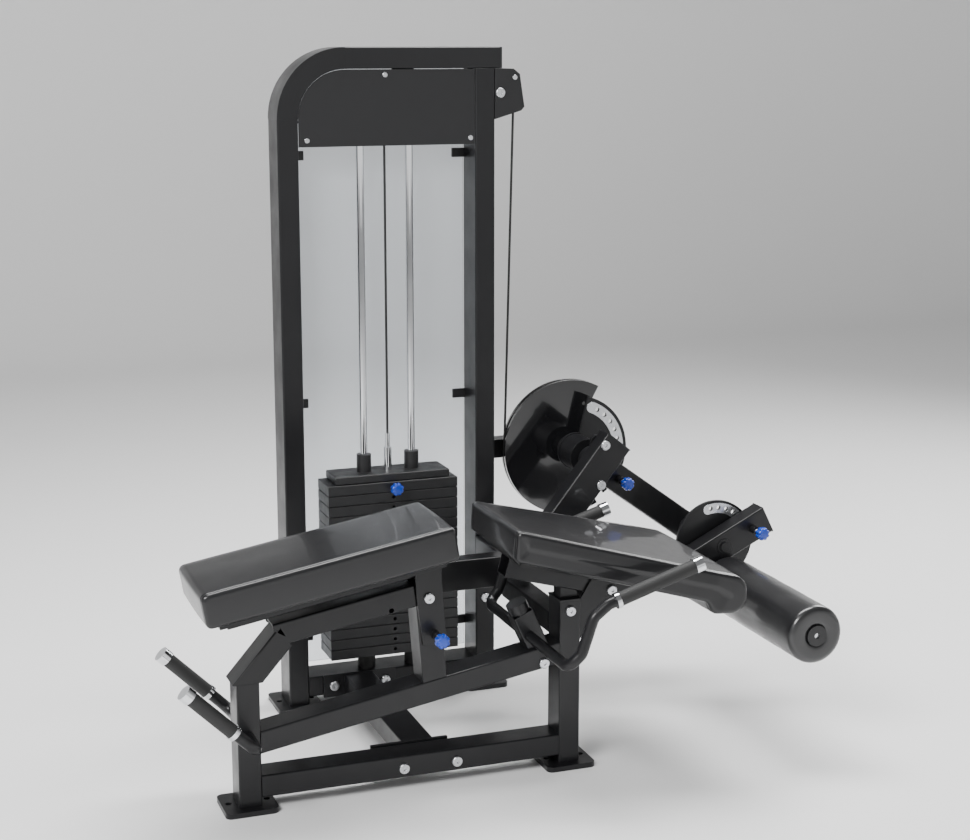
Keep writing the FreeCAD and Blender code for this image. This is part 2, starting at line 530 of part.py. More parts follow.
# ---- movement arm ----
def pop_pin(name, centre, face_y, plate_y):
    """Writes a pulled pin with its knob, and returns the sleeve that is fixed on the tube."""
    out = 20.0
    body = sleeve((centre[0], face_y - out, centre[1]), (centre[0], face_y, centre[1]), 10.0, PIN_R + 0.1)
    tip, tail = plate_y - PIN_GAP, face_y - out - 14.0
    pin = rod((centre[0], tail, centre[1]), (centre[0], tip, centre[1]), PIN_R)
    save(name + "_pin", pin.fuse(knob((centre[0], tail, centre[1]), 16.5, 26.0)))
    return body


def arm_group():
    y0, y1 = ARM_Y
    pin = polar(AXIS, ARM_HOLES_R, ARM_ANGLE)
    tube = slant_tube(polar(AXIS, 0.0, 0.0), polar(AXIS, 385.0, ARM_ANGLE), 70.0, y0, y1)
    hub_outer, hub_bore = disc(AXIS, 44.0, y0 - 12, y1 + 11), disc(AXIS, SHAFT_R + 0.05, y0 - 20, y1 + 20)
    tube = trimmed(tube, hub_outer).cut(disc(pin, PIN_R + 0.1, y0 - 1, y1 + 1))
    far = polar(AXIS, 385.0, ARM_ANGLE)
    save("arm_tube", tube, bar(far, polar(AXIS, 388.0, ARM_ANGLE), 70.0, y0, y1))
    spacer = disc(LEVER_AXIS, 25.0, DISC_Y[1], y0).cut(disc(LEVER_AXIS, 12.5, 200.0, 500.0))
    shaft = disc(LEVER_AXIS, 12.5, LEVER_Y[0] - 6, y0)
    index = disc(LEVER_AXIS, 104.0, *DISC_Y).cut(disc(LEVER_AXIS, 12.5, 200.0, 500.0))
    strip = ring_sector(LEVER_AXIS, 73.0, 98.0, 50.0, 104.0, DISC_Y[0] - SCALE_T, DISC_Y[0])
    for k in range(6):
        hole_at = polar(LEVER_AXIS, LEVER_HOLES_R, LEVER_ANGLE + k * LEVER_STEP)
        hole = disc(hole_at, PIN_R + 0.8, DISC_Y[0] - 5, DISC_Y[1] + 1)
        index, strip = index.cut(hole), strip.cut(hole)
    save("lever_disc", index)
    save("lever_scale", strip)
    sleeve_shape = pop_pin("arm", pin, y0, INDEX_Y[0] - SCALE_T)
    save("arm_bosses", hub_outer.cut(hub_bore), spacer, shaft, sleeve_shape)


def lever_group():
    y0, y1 = LEVER_Y
    low, high = polar(LEVER_AXIS, -122.0, LEVER_ANGLE), polar(LEVER_AXIS, 130.0, LEVER_ANGLE)
    pin = polar(LEVER_AXIS, LEVER_HOLES_R, LEVER_ANGLE)
    tube = slant_tube(low, high, 70.0, y0, y1).cut(disc(LEVER_AXIS, 20.0, y0 - 1, y1 + 1))
    tube = tube.cut(disc(pin, PIN_R + 0.1, y0 - 1, y1 + 1))
    sleeve_shape = pop_pin("lever", pin, y0, DISC_Y[0] - SCALE_T)
    save("lever_bosses", sleeve_shape, disc(LEVER_AXIS, 20.0, y0 - 2, y1 + 2).cut(disc(LEVER_AXIS, 12.55, 200.0, 300.0)))
    block = bar(low, high, 70.0, y0, y1)
    leg = box(ROLLER[0] - 24, ROLLER[0] + 24, y0 + 4, y1 - 4, ROLLER[1] - 30, LEVER_AXIS[1])
    leg = min(leg.cut(block).Solids, key=lambda part: part.BoundBox.ZMin).cut(disc(ROLLER, 12.5, y0, y1))
    cap_low, cap_high = polar(LEVER_AXIS, -125.0, LEVER_ANGLE), polar(LEVER_AXIS, 133.0, LEVER_ANGLE)
    save("lever_tube", tube, leg, bar(cap_low, low, 70.0, y0, y1), bar(high, cap_high, 70.0, y0, y1))
    shaft = disc(ROLLER, 12.5, ROLLER_Y[0] + 6, y1 - 4)
    save("roller_shaft", shaft.fuse(disc(ROLLER, 17.0, ROLLER_Y[0] + 2, ROLLER_Y[0] + 6)))


def roller_group():
    y0, y1 = ROLLER_Y
    foam = disc(ROLLER, ROLLER_R, y0, y1)
    rims = [e for e in foam.Edges if e.BoundBox.YLength < 0.01]
    foam = foam.makeFillet(9.0, rims).cut(disc(ROLLER, 24.0, y0 - 1, y1 + 1))
    save("roller_foam", foam)
    core = disc(ROLLER, 24.0, y0 + 8, y1).cut(disc(ROLLER, 12.55, y0, y1 + 1))
    cap = disc(ROLLER, 24.0, y0 - 2, y0 + 8).cut(disc(ROLLER, 18.0, y0 + 1.5, y0 + 9))
    cap = cap.cut(disc(ROLLER, 6.5, y0 - 3, y0 + 2))
    save("roller_core", core, cap)


# ---- pads ----
def head_pad():
    low_near, high_near = (-112.0, 518.0), (434.0, 613.0)
    thick = 74.0
    lean = math.atan2(high_near[1] - low_near[1], high_near[0] - low_near[0])
    nx, nz = math.sin(lean) * thick, -math.cos(lean) * thick
    outline = [low_near, high_near, (high_near[0] + nx, high_near[1] + nz), (low_near[0] + nx, low_near[1] + nz)]
    pad = prism(outline, -125.0, 125.0)
    save("head_pad", pad.makeFillet(16.0, pad.Edges))
    def under(t, drop):
        x = low_near[0] + t * (high_near[0] - low_near[0])
        z = low_near[1] + t * (high_near[1] - low_near[1])
        return x + nx / thick * (thick + drop), z + nz / thick * (thick + drop)
    board = prism([under(0.05, 0), under(0.95, 0), under(0.95, 12), under(0.05, 12)], -105.0, 105.0)
    tube = slant_tube(under(0.1, 29), under(0.93, 29), 34.0, -25.0, 25.0)
    save("head_pad_base", board, tube)
    plates = []
    pin = polar(TILT_AXIS, TILT_HOLES_R, TILT_PIN_ANGLE)
    for y in (-42.0, 36.0):
        outline = [under(0.855, 12), under(0.965, 12), (431.0, 470.0), (pin[0] + 27, pin[1] - 22),
                   (pin[0] - 27, pin[1] - 22), (373.0, 440.0)]
        cheek = prism(outline, y, y + 6).cut(disc(TILT_AXIS, 7.05, y - 1, y + 7))
        if y < 0:
            cheek = cheek.cut(disc(pin, PIN_R + 0.1, y - 1, y + 7))
        plates.append(cheek)
    bolt_shape = bolt(TILT_AXIS[0], -42.0, TILT_AXIS[1], 0.5)
    pivot = disc(TILT_AXIS, 7.0, -42.0, 48.0)
    save("tilt_bolt", pivot.fuse(bolt_shape))
    save("tilt_plates", *plates, pop_pin("tilt", pin, -42.0, -BENCH_HALF))


def seat_pad():
    left, right = (567.0, 597.0), (1030.0, 474.0)
    nose = (1040.0, 424.0)
    nose_r = 46.0
    thick = 70.0
    lean = math.atan2(right[1] - left[1], right[0] - left[0])
    nx, nz = math.sin(lean) * thick, -math.cos(lean) * thick
    low_left = (left[0] + nx + 14, left[1] + nz)
    low_right = (right[0] + nx, right[1] + nz)
    side = prism([left, right, low_right, low_left], -213.0, 213.0).fuse(disc(nose, nose_r, -213.0, 213.0))
    plan = Part.makePolygon([vec(500, -140, 300), vec(1200, -239, 300), vec(1200, 239, 300), vec(500, 140, 300),
                             vec(500, -140, 300)])
    pad = side.common(Part.Face(plan).extrude(vec(0, 0, 400))).removeSplitter()
    save("seat_pad", pad)
    def under(t, drop):
        x = low_left[0] + t * (low_right[0] - low_left[0])
        z = low_left[1] + t * (low_right[1] - low_left[1])
        return x + nx / thick * drop, z + nz / thick * drop
    board = prism([under(0.05, 0), under(0.86, 0), under(0.86, 12), under(0.05, 12)], -120.0, 120.0)
    tube = slant_tube(under(0.08, 37), under(0.78, 37), 50.0, -25.0, 25.0)
    tube_block = bar(under(-0.1, 37), under(0.9, 37), 50.0, -40.0, 40.0)
    column = box(RIGHT_POST - 18, RIGHT_POST + 22, -20.0, 20.0, 396.0, 560.0)
    column = min(column.cut(tube_block).Solids, key=lambda part: part.BoundBox.ZMin)
    gusset_out = [(761.0, 300.0), (761.0, 392.0), (788.0, 436.0), (860.0, 422.0), (862.0, 392.0), (812.0, 355.0)]
    plates = []
    for y in (-31.0, 25.0):
        plates.append(prism(gusset_out, y, y + 6).cut(disc((838.0, 407.0), BOLT_R + 0.5, y - 1, y + 7)))
    save("seat_base", board, tube, column, *plates)
    add("frame_bolts", bolt(838.0, -31.0, 407.0, 6.0), bolt(RIGHT_POST, -BENCH_HALF, 370.0))


# ---- bumper and handles ----
def bumper_group():
    low, high = (684.0, 246.0), (628.0, 370.0)
    beam_block = bar((0.0, beam_z(0)), (RIGHT_POST, beam_z(RIGHT_POST)), TUBE, -60, 60)
    stand = slant_tube(low, high, 50.0, -25.0, 25.0)
    handle_hole = rod((645.0, -40.0, 316.0), (645.0, 40.0, 316.0), HANDLE_R + 0.05)
    stand = trimmed(stand, beam_block).cut(handle_hole)
    lean = math.atan2(high[1] - low[1], high[0] - low[0])
    c, s = math.cos(lean), math.sin(lean)
    base = (high[0], 0.0, high[1])
    mid = (high[0] + 8 * c, 0.0, high[1] + 8 * s)
    seat = rod(base, mid, 24.0)
    tip = (high[0] + 24 * c, 0.0, high[1] + 24 * s)
    save("bumper_stand", stand, seat, rod(mid, tip, 24.0))
    add("frame_bolts", bolt(673.0, -BENCH_HALF, 255.0))


def handles():
    y, inside = SIDE_Y, 25.0
    pts = [(645.0, -inside, 316.0), (645.0, -y + 8, 316.0), (672.0, -y, 345.0), (699.0, -y, 424.0),
           (733.0, -y, 449.5), (940.0, -y, 514.5)]
    start = (645.0, 0.0, 316.0)
    near = bent_tube([start] + pts[1:], 26.0, HANDLE_R, HANDLE_R - 2.5)
    near = near.cut(box(500, 900, 0.0, 60, 200, 500))
    add("handle_bars", near, mirrored(near))
    a, b = vec(*pts[4]), vec(*pts[5])
    d = (b - a).normalize()
    grips, rings = [], []
    for sign in (1, -1):
        def at(t):
            p = a + d * t
            return (p.x, sign * p.y, p.z)
        length = (b - a).Length
        rings.append(sleeve(at(16.0), at(26.0), GRIP_R + 2, HANDLE_R + 0.02))
        grips.append(sleeve(at(26.0), at(length - 8), GRIP_R, HANDLE_R + 0.02))
        rings.append(rod(at(length), at(length + 12), GRIP_R + 2))
        rings.append(sleeve(at(length - 8), at(length), GRIP_R + 2, HANDLE_R + 0.02))
    fy = FRONT_Y
    tubes = []
    for sign in (-1, 1):
        pts = [(-2.0, sign * BENCH_HALF, 172.0), (-2.0, sign * fy, 172.0), (-146.0, sign * fy, 315.0)]
        tubes.append(bent_tube(pts, 30.0, HANDLE_R, HANDLE_R - 2.5))
        lean = math.atan2(143.0, -144.0)
        c, s = math.cos(lean), math.sin(lean)
        def up(t):
            return (-2.0 + t * c, sign * fy, 172.0 + t * s)
        rings.append(sleeve(up(66.0), up(76.0), GRIP_R + 2, HANDLE_R + 0.02))
        grips.append(sleeve(up(76.0), up(194.0), GRIP_R, HANDLE_R + 0.02))
        rings.append(sleeve(up(194.0), up(202.93), GRIP_R + 2, HANDLE_R + 0.02))
        rings.append(rod(up(202.94), up(214.0), GRIP_R + 2))
    add("handle_bars", *tubes)
    save("hand_grips", *grips)
    save("grip_collars", *rings)


def far_bearing_support():
    y0 = 592.0
    x1 = 1012.0
    arm = level_tube(TOWER_R + TUBE / 2, x1, y0, y0 + 40, 580.0, 630.0)
    add("tube_caps", box(x1, x1 + 3, y0, y0 + 40, 580.0, 630.0))
    pad_plate = box(TOWER_R - 12.5, TOWER_R + TUBE / 2, TOWER_BACK, TOWER_BACK + 17, 575.0, 635.0)
    save("shaft_outrigger", arm.cut(disc(AXIS, SHAFT_R + 0.05, y0 - 1, y0 + 41)), pad_plate)


bench_frame()
tower_frame()
tower_covers()
rods()
weight_stack()
cables()
pulleys()
pivot_support()
far_bearing_support()
cam_group()
arm_group()
lever_group()
roller_group()
head_pad()
seat_pad()
bumper_group()
handles()
for group_name, members in GROUPS.items():
    save(group_name, *members)
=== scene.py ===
import bpy
import json
import math
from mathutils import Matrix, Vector, noise


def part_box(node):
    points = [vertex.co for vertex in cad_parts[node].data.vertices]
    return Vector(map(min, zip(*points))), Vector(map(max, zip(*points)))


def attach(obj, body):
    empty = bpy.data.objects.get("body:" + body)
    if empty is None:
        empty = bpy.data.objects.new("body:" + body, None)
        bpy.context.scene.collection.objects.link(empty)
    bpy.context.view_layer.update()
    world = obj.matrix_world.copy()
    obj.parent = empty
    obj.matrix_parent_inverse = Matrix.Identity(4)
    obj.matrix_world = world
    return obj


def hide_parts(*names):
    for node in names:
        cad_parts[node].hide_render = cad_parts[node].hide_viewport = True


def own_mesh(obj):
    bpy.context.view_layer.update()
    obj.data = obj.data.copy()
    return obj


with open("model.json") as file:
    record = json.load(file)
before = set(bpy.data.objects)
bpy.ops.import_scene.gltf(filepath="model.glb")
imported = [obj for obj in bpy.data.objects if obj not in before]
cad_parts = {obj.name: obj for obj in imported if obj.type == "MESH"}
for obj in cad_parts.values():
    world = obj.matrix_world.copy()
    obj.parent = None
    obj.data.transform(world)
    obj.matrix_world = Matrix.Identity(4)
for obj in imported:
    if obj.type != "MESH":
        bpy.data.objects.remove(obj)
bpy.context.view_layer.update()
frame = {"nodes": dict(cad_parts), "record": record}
record = frame["record"]

# The bench frame has its zero at the foot of the bench's left post. The row's origin lies this far from it.
ORIGIN = (0.615232, 0.186253)
MM = 0.001

HEAD_LOW, HEAD_HIGH = (-112.0, 518.0), (434.0, 613.0)     # ends of the head pad's top face, X and Z
HEAD_THICK, HEAD_HALF_WIDTH = 74.0, 125.0
HEAD_CORNERS = [13.0, 9.0, 11.0, 13.0]
SEAT_PROFILE = [(567.0, 597.0), (1086.0, 459.0), (1086.0, 378.0), (1003.0, 384.0), (990.0, 412.0),
                (563.0, 529.4)]
SEAT_CORNERS = [9.0, 38.0, 36.0, 16.0, 14.0, 9.0]
SEAT_SPINE = [(590.0, 557.0), (1010.0, 445.0), (1044.0, 424.0)]
SEAT_THICK, SEAT_MAX_HALF_WIDTH = 70.0, 213.0
SEAT_NARROW, SEAT_WIDE = (500.0, 140.0), (1200.0, 239.0)  # X and half width that set the seat's taper
PAD_EDGE, PAD_CROWN, PAD_FILL = 9.0, 2.0, 0.85
SEAM_DEPTH, RIPPLE = 1.1, 0.5
OUTLINE_STEP = 6.0

POP_KNOB, POP_SHANK = 26.0, 5.0
SELECTOR_KNOB, SELECTOR_SHANK = 24.0, 4.0
KNOB_SHAPE = [(0.0, 0.52), (0.012, 0.66), (0.04, 0.78), (0.1, 0.90), (0.18, 0.97), (0.28, 1.0), (0.5, 1.0),
              (0.66, 0.98), (0.76, 0.92), (0.84, 0.8), (0.9, 0.66), (0.955, 0.6), (1.0, 0.56)]
KNOB_FLUTES, FLUTE_DEPTH = 8, 0.16

ROLLER_EDGE, ROLLER_BORE = 15.0, 24.4
CABLE_RADIUS = 0.003

CAMERA_AT = (-791.5, -3640.0, 1620.0)
CAMERA_PITCH, CAMERA_YAW = 11.6, 20.2                     # degrees down, and degrees towards +X


def row(x, y, z):
    """Point of the bench frame, in millimetres, as a point of the row frame, in metres."""
    return Vector((x * MM - ORIGIN[0], y * MM - ORIGIN[1], z * MM))


# ---- materials ----
def material(name, colour, metallic=0.0, roughness=0.5, **sockets):
    """Principled material. Further sockets are named with underscores for spaces."""
    mat = bpy.data.materials.new(name)
    mat.use_nodes = True
    shader = mat.node_tree.nodes["Principled BSDF"]
    shader.inputs["Base Color"].default_value = (*colour, 1.0)
    shader.inputs["Metallic"].default_value = metallic
    shader.inputs["Roughness"].default_value = roughness
    for socket, value in sockets.items():
        shader.inputs[socket.replace("_", " ")].default_value = value
    return mat


def texture(mat, scale, detail=3.0, kind="ShaderNodeTexNoise"):
    """A texture node in object coordinates."""
    nodes, links = mat.node_tree.nodes, mat.node_tree.links
    coords = nodes.new("ShaderNodeTexCoord")
    node = nodes.new(kind)
    node.inputs["Scale"].default_value = scale
    if "Detail" in node.inputs:
        node.inputs["Detail"].default_value = detail
    links.new(coords.outputs["Object"], node.inputs["Vector"])
    return node


def vary(mat, socket, scale, low, high):
    """Lets a value drift slowly between two limits."""
    nodes, links = mat.node_tree.nodes, mat.node_tree.links
    source = texture(mat, scale)
    ramp = nodes.new("ShaderNodeMapRange")
    ramp.inputs["From Min"].default_value = 0.3
    ramp.inputs["From Max"].default_value = 0.7
    ramp.inputs["To Min"].default_value = low
    ramp.inputs["To Max"].default_value = high
    links.new(source.outputs[0], ramp.inputs["Value"])
    links.new(ramp.outputs["Result"], nodes["Principled BSDF"].inputs[socket])


def tint(mat, scale, first, second):
    """Lets the base colour drift between two colours."""
    nodes, links = mat.node_tree.nodes, mat.node_tree.links
    source = texture(mat, scale)
    mix = nodes.new("ShaderNodeMix")
    mix.data_type = "RGBA"
    mix.inputs["A"].default_value = (*first, 1.0)
    mix.inputs["B"].default_value = (*second, 1.0)
    links.new(source.outputs[0], mix.inputs["Factor"])
    links.new(mix.outputs["Result"], nodes["Principled BSDF"].inputs["Base Color"])


def grain(mat, scale, distance, strength=0.4, kind="ShaderNodeTexNoise", edge=0.0):
    """Surface relief, with a small round-over of sharp edges where edge is above zero."""
    nodes, links = mat.node_tree.nodes, mat.node_tree.links
    source = texture(mat, scale, 4.0, kind)
    bump = nodes.new("ShaderNodeBump")
    bump.inputs["Strength"].default_value = strength
    bump.inputs["Distance"].default_value = distance
    links.new(source.outputs[0], bump.inputs["Height"])
    if edge > 0:
        bevel = nodes.new("ShaderNodeBevel")
        bevel.samples = 4
        bevel.inputs["Radius"].default_value = edge
        links.new(bevel.outputs["Normal"], bump.inputs["Normal"])
    links.new(bump.outputs["Normal"], nodes["Principled BSDF"].inputs["Normal"])


paint = material("satin black paint", (0.007, 0.007, 0.008), 0.0, 0.34, Coat_Weight=0.12, Coat_Roughness=0.14,
                 Specular_IOR_Level=0.32)
tint(paint, 6.0, (0.005, 0.005, 0.006), (0.010, 0.010, 0.011))
vary(paint, "Roughness", 14.0, 0.28, 0.42)
grain(paint, 900.0, 0.0003, 0.22, edge=0.0016)

gloss = material("gloss black paint", (0.008, 0.008, 0.009), 0.0, 0.1, Coat_Weight=0.9, Coat_Roughness=0.05)
vary(gloss, "Roughness", 9.0, 0.07, 0.16)
grain(gloss, 260.0, 0.0002, 0.1, edge=0.002)

plates = material("weight plate paint", (0.009, 0.009, 0.010), 0.0, 0.42, Coat_Weight=0.1, Coat_Roughness=0.3)
tint(plates, 30.0, (0.006, 0.006, 0.007), (0.014, 0.014, 0.015))
vary(plates, "Roughness", 35.0, 0.36, 0.52)
grain(plates, 420.0, 0.0004, 0.35, edge=0.0012)

chrome = material("chrome", (0.80, 0.81, 0.83), 1.0, 0.07)
vary(chrome, "Roughness", 22.0, 0.05, 0.12)

zinc = material("bright zinc", (0.66, 0.67, 0.69), 1.0, 0.26)
tint(zinc, 40.0, (0.60, 0.61, 0.63), (0.72, 0.73, 0.75))
vary(zinc, "Roughness", 60.0, 0.2, 0.34)
grain(zinc, 700.0, 0.0001, 0.15, edge=0.0006)

vinyl = material("black vinyl", (0.009, 0.009, 0.010), 0.0, 0.36, Coat_Weight=0.5, Coat_Roughness=0.05,
                 Specular_IOR_Level=0.25)
tint(vinyl, 5.0, (0.007, 0.007, 0.008), (0.012, 0.012, 0.013))
vary(vinyl, "Roughness", 8.0, 0.32, 0.42)
grain(vinyl, 1100.0, 0.0003, 0.2, "ShaderNodeTexVoronoi")

foam = material("roller foam", (0.009, 0.009, 0.010), 0.0, 0.3, Coat_Weight=0.6, Coat_Roughness=0.07)
vary(foam, "Roughness", 12.0, 0.3, 0.44)
grain(foam, 1500.0, 0.0005, 0.3)

rubber = material("grip rubber", (0.014, 0.014, 0.014), 0.0, 0.62)
tint(rubber, 25.0, (0.011, 0.011, 0.011), (0.018, 0.018, 0.018))
grain(rubber, 1300.0, 0.0007, 0.5)

plastic = material("black plastic", (0.008, 0.008, 0.009), 0.0, 0.4)
vary(plastic, "Roughness", 20.0, 0.34, 0.48)
grain(plastic, 1600.0, 0.0003, 0.25, edge=0.001)

jacket = material("cable jacket", (0.012, 0.012, 0.012), 0.0, 0.35)
vary(jacket, "Roughness", 60.0, 0.3, 0.42)

blue = material("blue plastic", (0.006, 0.045, 0.42), 0.0, 0.26, Coat_Weight=0.4, Coat_Roughness=0.1)
tint(blue, 50.0, (0.005, 0.038, 0.36), (0.008, 0.055, 0.48))
vary(blue, "Roughness", 40.0, 0.2, 0.32)

sheet = material("clear sheet", (0.90, 0.93, 0.96), 0.0, 0.08, Transmission_Weight=0.85, IOR=1.12)
vary(sheet, "Roughness", 4.0, 0.05, 0.14)

BY_SLOT = {"black_paint": paint, "gloss_black": gloss, "plate_black": plates, "chrome": chrome, "zinc": zinc,
           "vinyl": vinyl, "rubber": rubber, "clear_panel": sheet, "black_plastic": plastic, "cable": jacket,
           "blue": blue}
for part in record["subparts"]:
    node = frame["nodes"][part["node"]]
    if not node.material_slots:
        node.data.materials.append(None)
    for slot in node.material_slots:
        slot.material = BY_SLOT[part["material_slot"]]


# ---- meshes ----
def mesh_object(name, points, faces, mats, face_mats=None):
    """Smooth-shaded mesh object, with a material for each face if face_mats lists them."""
    mesh = bpy.data.meshes.new(name)
    mesh.from_pydata([tuple(p) for p in points], [], faces)
    for mat in mats:
        mesh.materials.append(mat)
    for i, face in enumerate(mesh.polygons):
        face.use_smooth = True
        if face_mats:
            face.material_index = face_mats[i]
    mesh.update()
    obj = bpy.data.objects.new(name, mesh)
    bpy.context.scene.collection.objects.link(obj)
    return obj


def loft(rings):
    """Points and faces of a closed skin over rings that have the same number of points."""
    count = len(rings[0])
    points = [p for ring in rings for p in ring]
    faces = []
    for r in range(len(rings) - 1):
        for i in range(count):
            j = (i + 1) % count
            faces.append((r * count + i, r * count + j, (r + 1) * count + j, (r + 1) * count + i))
    faces.append(tuple(reversed(range(count))))
    faces.append(tuple(range((len(rings) - 1) * count, len(rings) * count)))
    return points, faces


def rounded_outline(corners, radii, spacing):
    """Closed outline with rounded corners, as evenly spaced points of a plane."""
    path = []
    count = len(corners)
    for i in range(count):
        before, here, after = (Vector(corners[(i + k) % count]) for k in (-1, 0, 1))
        back, ahead = (before - here).normalized(), (after - here).normalized()
        half = back.angle(ahead) / 2
        cut = radii[i] / math.tan(half)
        centre = here + (back + ahead).normalized() * (radii[i] / math.sin(half))
        first, last = here + back * cut - centre, here + ahead * cut - centre
        turn = first.angle(last)
        for k in range(13):
            t = k / 12
            weight_a = math.sin((1 - t) * turn) / math.sin(turn)
            weight_b = math.sin(t * turn) / math.sin(turn)
            path.append(centre + first * weight_a + last * weight_b)
    lengths = [0.0]
    for i in range(len(path)):
        lengths.append(lengths[-1] + (path[(i + 1) % len(path)] - path[i]).length)
    steps = int(lengths[-1] / spacing)
    out, at = [], 0
    for s in range(steps):
        want = lengths[-1] * s / steps
        while lengths[at + 1] < want:
            at += 1
        t = (want - lengths[at]) / (lengths[at + 1] - lengths[at])
        out.append(path[at % len(path)].lerp(path[(at + 1) % len(path)], t))
    return out


def nearest(point, line):
    """Closest point on an open line of points."""
    best, gap = None, 1e9
    for a, b in zip(line, line[1:]):
        a, b = Vector(a), Vector(b)
        d = b - a
        t = min(1.0, max(0.0, (point - a).dot(d) / d.length_squared))
        q = a + d * t
        if (point - q).length < gap:
            best, gap = q, (point - q).length
    return best


def cushion(name, outline, spine, half_width, depth, node, body):
    """Closed pad: a rounded side profile carried across its width, crowned, with a seam by each side."""
    sides = [(0.95 - 0.17 * k, 0.5 * (1 - (k / 4) ** 2), False) for k in range(5)]
    for k in range(9):
        phi = math.pi / 2 * (1 - k / 8)
        sides.append((PAD_EDGE * (1 - math.cos(phi)) / depth, -PAD_EDGE + PAD_EDGE * math.sin(phi), False))
    for past, seam in ((1.2, False), (2.2, True), (3.2, False)):
        sides.append((0.0, -PAD_EDGE - past, seam))

    def ring(inset, side, reach, in_seam):
        """The outline at one place across the pad; side runs from -1 to 1."""
        points = []
        for p in outline:
            q = nearest(p, spine)
            width = half_width(p.x)
            y = side * (width + reach)
            s = min(1.0, abs(y) / width)
            out = (p - q).normalized()
            grow = 1 - inset - (SEAM_DEPTH / depth if in_seam else 0.0)
            v = q + (p - q) * grow + out * PAD_CROWN * (1 - s * s)
            ripple = noise.noise(Vector((v.x, y, v.y)) * 0.011) * RIPPLE
            v = v + out * ripple * (1 - inset)
            points.append(row(v.x, y, v.y))
        return points

    rings = [ring(inset, -1, reach, seam) for inset, reach, seam in sides]
    rings += [ring(0.0, 2 * i / 34 - 1, -PAD_EDGE - 4.0, False) for i in range(1, 34)]
    rings += [ring(inset, 1, reach, seam) for inset, reach, seam in reversed(sides)]
    points, faces = loft(rings)
    obj = mesh_object(name, points, faces, [vinyl])
    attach(obj, body)
    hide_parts(node)


def slab(low, high, thick):
    """Corners of a slab's side profile below the line from low to high."""
    lean = math.atan2(high[1] - low[1], high[0] - low[0])
    nx, nz = math.sin(lean) * thick, -math.cos(lean) * thick
    return [low, high, (high[0] + nx, high[1] + nz), (low[0] + nx, low[1] + nz)]


def head_half_width(x):
    """The head pad is as wide at every place along it."""
    return HEAD_HALF_WIDTH


def seat_half_width(x):
    """The seat widens towards its nose, up to a limit."""
    slope = (SEAT_WIDE[1] - SEAT_NARROW[1]) / (SEAT_WIDE[0] - SEAT_NARROW[0])
    return min(SEAT_MAX_HALF_WIDTH, SEAT_NARROW[1] + (x - SEAT_NARROW[0]) * slope)


def pads():
    """Head pad and seat pad, in place of their plain solids."""
    corners = slab(HEAD_LOW, HEAD_HIGH, HEAD_THICK)
    outline = rounded_outline(corners, HEAD_CORNERS, OUTLINE_STEP)
    low = (Vector(corners[0]) + Vector(corners[3])) / 2
    high = (Vector(corners[1]) + Vector(corners[2])) / 2
    half = HEAD_THICK / 2
    along = (high - low).normalized() * half
    spine = [low + along, high - along]
    cushion("head_cushion", outline, spine, head_half_width, half, "head_pad", "head_rest")
    outline = rounded_outline(SEAT_PROFILE, SEAT_CORNERS, OUTLINE_STEP)
    cushion("seat_cushion", outline, SEAT_SPINE, seat_half_width, SEAT_THICK / 2, "seat_pad", "frame")


pads()


# ---- turned pieces along Y ----
def turned(name, centre, profile, mats, fluted=False, segments=96):
    """Solid of revolution about Y. The profile lists y in metres, radius in millimetres and material index.

    If fluted, the stretches of the first material have grooves along them.
    """
    rings = []
    for y, radius, kind in profile:
        ring = []
        for i in range(segments):
            turn = 2 * math.pi * i / segments
            r = radius * MM
            if fluted and kind == 0:
                r *= 1 - FLUTE_DEPTH * (0.5 + 0.5 * math.cos(KNOB_FLUTES * turn)) ** 2
            ring.append(Vector((centre.x + r * math.cos(turn), y, centre.z - r * math.sin(turn))))
        rings.append(ring)
    points, faces = loft(rings)
    kinds = [kind for y, radius, kind in profile]
    face_mats = [kind for kind in kinds[1:] for _ in range(segments)]
    face_mats += [kinds[0], kinds[-1]]
    return mesh_object(name, points, faces, mats, face_mats)


def middle_and_radius(node):
    """Lowest corner, highest corner, middle, and radius in millimetres, of a round node along Y."""
    low, high = (Vector(v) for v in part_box(node))
    return low, high, (low + high) / 2, (high.x - low.x) / 2 / MM


def pull_pin(node, body, knob_length, shank):
    """Fluted blue knob on a steel shank, in place of one pin."""
    low, high, centre, radius = middle_and_radius(node)
    knob_end = low.y + knob_length * MM
    profile = [(low.y + t * knob_length * MM, r * radius, 0) for t, r in KNOB_SHAPE]
    profile += [(knob_end, shank + 0.02, 0), (knob_end + 0.0001, shank, 1)]
    profile += [(high.y - 0.0012, shank, 1), (high.y, shank - 1.2, 1)]
    knob = turned(node + "_knob", centre, profile, [blue, zinc], fluted=True)
    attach(knob, body)
    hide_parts(node)


for pin in ("arm", "lever", "tilt"):
    pull_pin(pin + "_pin", pin + "_pop_pin", POP_KNOB, POP_SHANK)
pull_pin("selector_pin", "selector", SELECTOR_KNOB, SELECTOR_SHANK)


# ---- foam roller ----
def rounded_end(end_y, inwards, radius):
    """Half profile of one end, from the bore's lip out over the rounded rim. inwards is 1 or -1."""
    lip = [(0.004, ROLLER_BORE), (0.0012, ROLLER_BORE + 3), (0.0, ROLLER_BORE + 9)]
    points = [(end_y + inwards * depth, r, 0) for depth, r in lip]
    for k in range(9, -1, -1):
        phi = math.pi / 2 * k / 9
        depth = ROLLER_EDGE * MM * (1 - math.sin(phi))
        points.append((end_y + inwards * depth, radius - ROLLER_EDGE * (1 - math.cos(phi)), 0))
    return points


